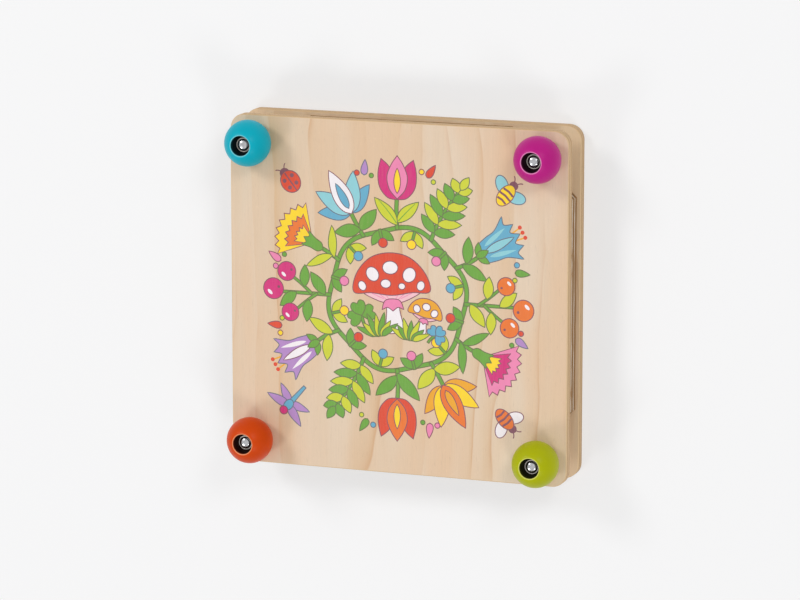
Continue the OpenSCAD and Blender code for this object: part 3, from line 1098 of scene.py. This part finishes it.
bigDots = ((0, 12.8, 3.9, 3.1), (-9.8, 9.6, 3, 3.6, 32), (10, 9, 3.1, 3.7, -34), (-15.8, 3.6, 1.8, 2.3, 24),
           (15.8, 3.4, 1.8, 2.3, -24), (-3, 4.6, 2.5, 2), (5.6, 3.2, 1.6, 1.4))
smallDots = ((0, 11, 4.4, 3.8), (-11, 6, 3.6, 4.2, 26), (11, 6, 3.6, 4.2, -26))
wreathFlowers = (
    tulip("magenta", "pink", "lime"), fern("green", "lime"), bellflower("turquoise", "aqua", "green"),
    berrySprig("orange", "lime"), carnation("pink", "magenta", "green"),
    lotus("gold", "yellow", "orange", "lime"),
    tulip("red", "orange", "green"), fern("lime", "green"), bellflower("lilac", "white", "lime"),
    berrySprig("magenta", "green"), carnation("yellow", "orange", "lime"),
    lotus("turquoise", "aqua", "white", "green"),
)
# each with its place on the board, its turn and its scale
wreathHeart = (
    (mushroom("gold", smallDots), (15.5, -8), 12, 0.46), (mushroom("red", bigDots), (-3, 3.5), -4, 1.05),
    (cloverSprig("green"), (-16.5, -18), -24, 1.1), (cloverSprig("turquoise"), (17.5, -22), 48, 0.75),
    (grassTuft(7, 14, ("green", "lime")), (-10.5, -20.5), -8),
    (grassTuft(7, 12.5, ("lime", "green")), (7, -21.5), 6),
)
insects = {
    "printedBeeRear": (bee("yellow", "aqua"), (60.5, 59.5), 40, 1.45),
    "printedLadybird": (ladybird("red"), (-60.5, 60), -38, 1.4),
    "printedDragonfly": (dragonfly("turquoise", "lilac"), (-60.5, -60), 222, 1.55),
    "printedBeeFront": (bee("orange", "white"), (60.5, -60.5), 138, 1.4),
}


def onRing(radius, clock):
    # clock is in degrees from the rear, as a clock's hand turns
    return radius * sin(radians(clock)), radius * cos(radians(clock))


def wreath():
    look, ring = printLook, printLook["ringRadius"]
    outer, inner = [], []
    for clock in [*range(0, 360, 2), 0]:
        radius = ring + look["ringWave"] * sin(radians(6 * clock))
        outer.append(onRing(radius + look["ringWidth"] / 2, clock))
        inner.append(onRing(radius - look["ringWidth"] / 2, clock))
    shapes = [("green", outer[:92] + inner[91::-1], True), ("green", outer[90:] + inner[:89:-1], True)]
    for index, flower in enumerate(wreathFlowers):
        shapes += placed(flower, onRing(ring + 0.5, 30 * index), 30 * index, look["flowerScale"])
    # leaves and berries that point inwards between the flowers, and loose petals further out
    for index in range(12):
        clock, blade = 30 * index + 15, ("lime", "green")[index % 2]
        berry = ("yellow", "pink", "turquoise", "red")[index % 4]
        stalk = line("green", [(0, -0.5), (0, 5)], 0.9, outlined=True)
        sprig = [*leafPair(blade, 0, 0, 38, 9, 4.4, 0.8), stalk, spot(berry, 0, 6.8, 2.3)]
        shapes += placed(sprig, onRing(ring - 0.6, clock), clock + 180)
        if index % 3 != 1:
            petal = ("red", "pink", "green", "lilac")[index % 4]
            trio = [leaf(petal, 0, -3.4, 0, 7.6, 3.4, 0.6, 0.6), spot(berry, -4.2, -2.6, 1.2),
                    spot(blade, 4, -3.8, 1)]
            shapes += placed(trio, onRing(ring + 33.5, clock), clock + 14)
    for motif in wreathHeart:
        shapes += placed(*motif)
    return shapes


printPiece("printedWreath", wreath())
for name, insect in insects.items():
    printPiece(name, placed(*insect))
print("print: wreath, mushrooms and insects")


stageLook = {
    "floorHalf": 12000, "floorDrop": 0.2,  # the drop keeps it clear of the board's underside
    "floorColor": (0.87, 0.87, 0.87, 1),
    "seenFloor": (0.43, 0.43, 0.435, 1),  # the share of the floor's shade that the camera sees
    "seenGlow": 0.5,  # and the even part added to it
    "seenColor": (0.88, 0.88, 0.88, 1),  # what camera and mirror rays find past the floor
    "fillColor": (0.45, 0.45, 0.45, 1),  # and the room's light on the object
    "lampSize": 0.6,
}
lamps = {  # place in metres, power in watts
    "lampRearLeft": ((-1.15, 1.05, 1.5), 11.6), "lampRearRight": ((1.1, 1, 1.5), 8.4),
    "lampFrontLeft": ((-1.05, -1.1, 1.5), 7.8), "lampFrontRight": ((1.1, -1.15, 1.45), 7.4),
}
cameraLook = {
    "place": (0.7193, 0.4125, 1.9815), "aim": (0.0016, -0.0002, 0.027),
    "lens": 180, "sensor": 36, "near": 0.05, "far": 60,
}


def facing(place, aim, up):
    # a camera or lamp at place that looks at aim
    back = (Vector(place) - Vector(aim)).normalized()
    right = Vector(up).cross(back).normalized()
    matrix = Matrix((right, back.cross(right), back)).transposed().to_4x4()
    matrix.translation = Vector(place)
    return matrix


def seenRays(tree):
    rays = addNode(tree, "LightPath")
    shown = maths("MAXIMUM", rays["Is Camera Ray"], rays["Is Glossy Ray"])
    return maths("MAXIMUM", shown, rays["Is Transmission Ray"])


def buildStage():
    look, half = stageLook, stageLook["floorHalf"]
    corners = [(x * half, y * half, -look["floorDrop"]) for x, y in ((-1, -1), (1, -1), (1, 1), (-1, 1))]
    material, shader = newMaterial("paleFloor", look["floorColor"], specular=0.1)
    feed(shader["Roughness"], 0.9)
    feed(shader["Emission Color"], (1, 1, 1, 1))
    shown = seenRays(material.node_tree)
    feed(shader["Base Color"], blendColor(shown, look["floorColor"], look["seenFloor"]))
    feed(shader["Emission Strength"], times(shown, look["seenGlow"]))
    newPiece("floor", corners, [(0, 1, 2, 3)], [material])
    world = bpy.data.worlds.new("softRoom")
    world.use_nodes = True
    bpy.context.scene.world = world
    tree = world.node_tree
    tree.nodes.clear()
    light = blendColor(seenRays(tree), look["fillColor"], look["seenColor"])
    addNode(tree, "OutputWorld", {"Surface": addNode(tree, "Background", {"Color": light})[0]})


def buildLamps():
    for name, (place, power) in lamps.items():
        data = bpy.data.lights.new(name, "AREA")
        data.shape, data.size, data.energy = "DISK", stageLook["lampSize"], power
        newObject(name, data).matrix_world = facing(place, (0, 0, 0), (0, 0, 1))


def buildCamera():
    look, data = cameraLook, bpy.data.cameras.new("photoView")
    data.lens, data.sensor_width = look["lens"], look["sensor"]
    data.clip_start, data.clip_end = look["near"], look["far"]
    camera = newObject("photoView", data)
    camera.matrix_world = facing(look["place"], look["aim"], (0, 1, 0))
    bpy.context.scene.camera = camera


buildStage()
buildLamps()
buildCamera()
bpy.context.scene.view_settings.view_transform = "Standard"
print("stage: floor, lamps and camera")
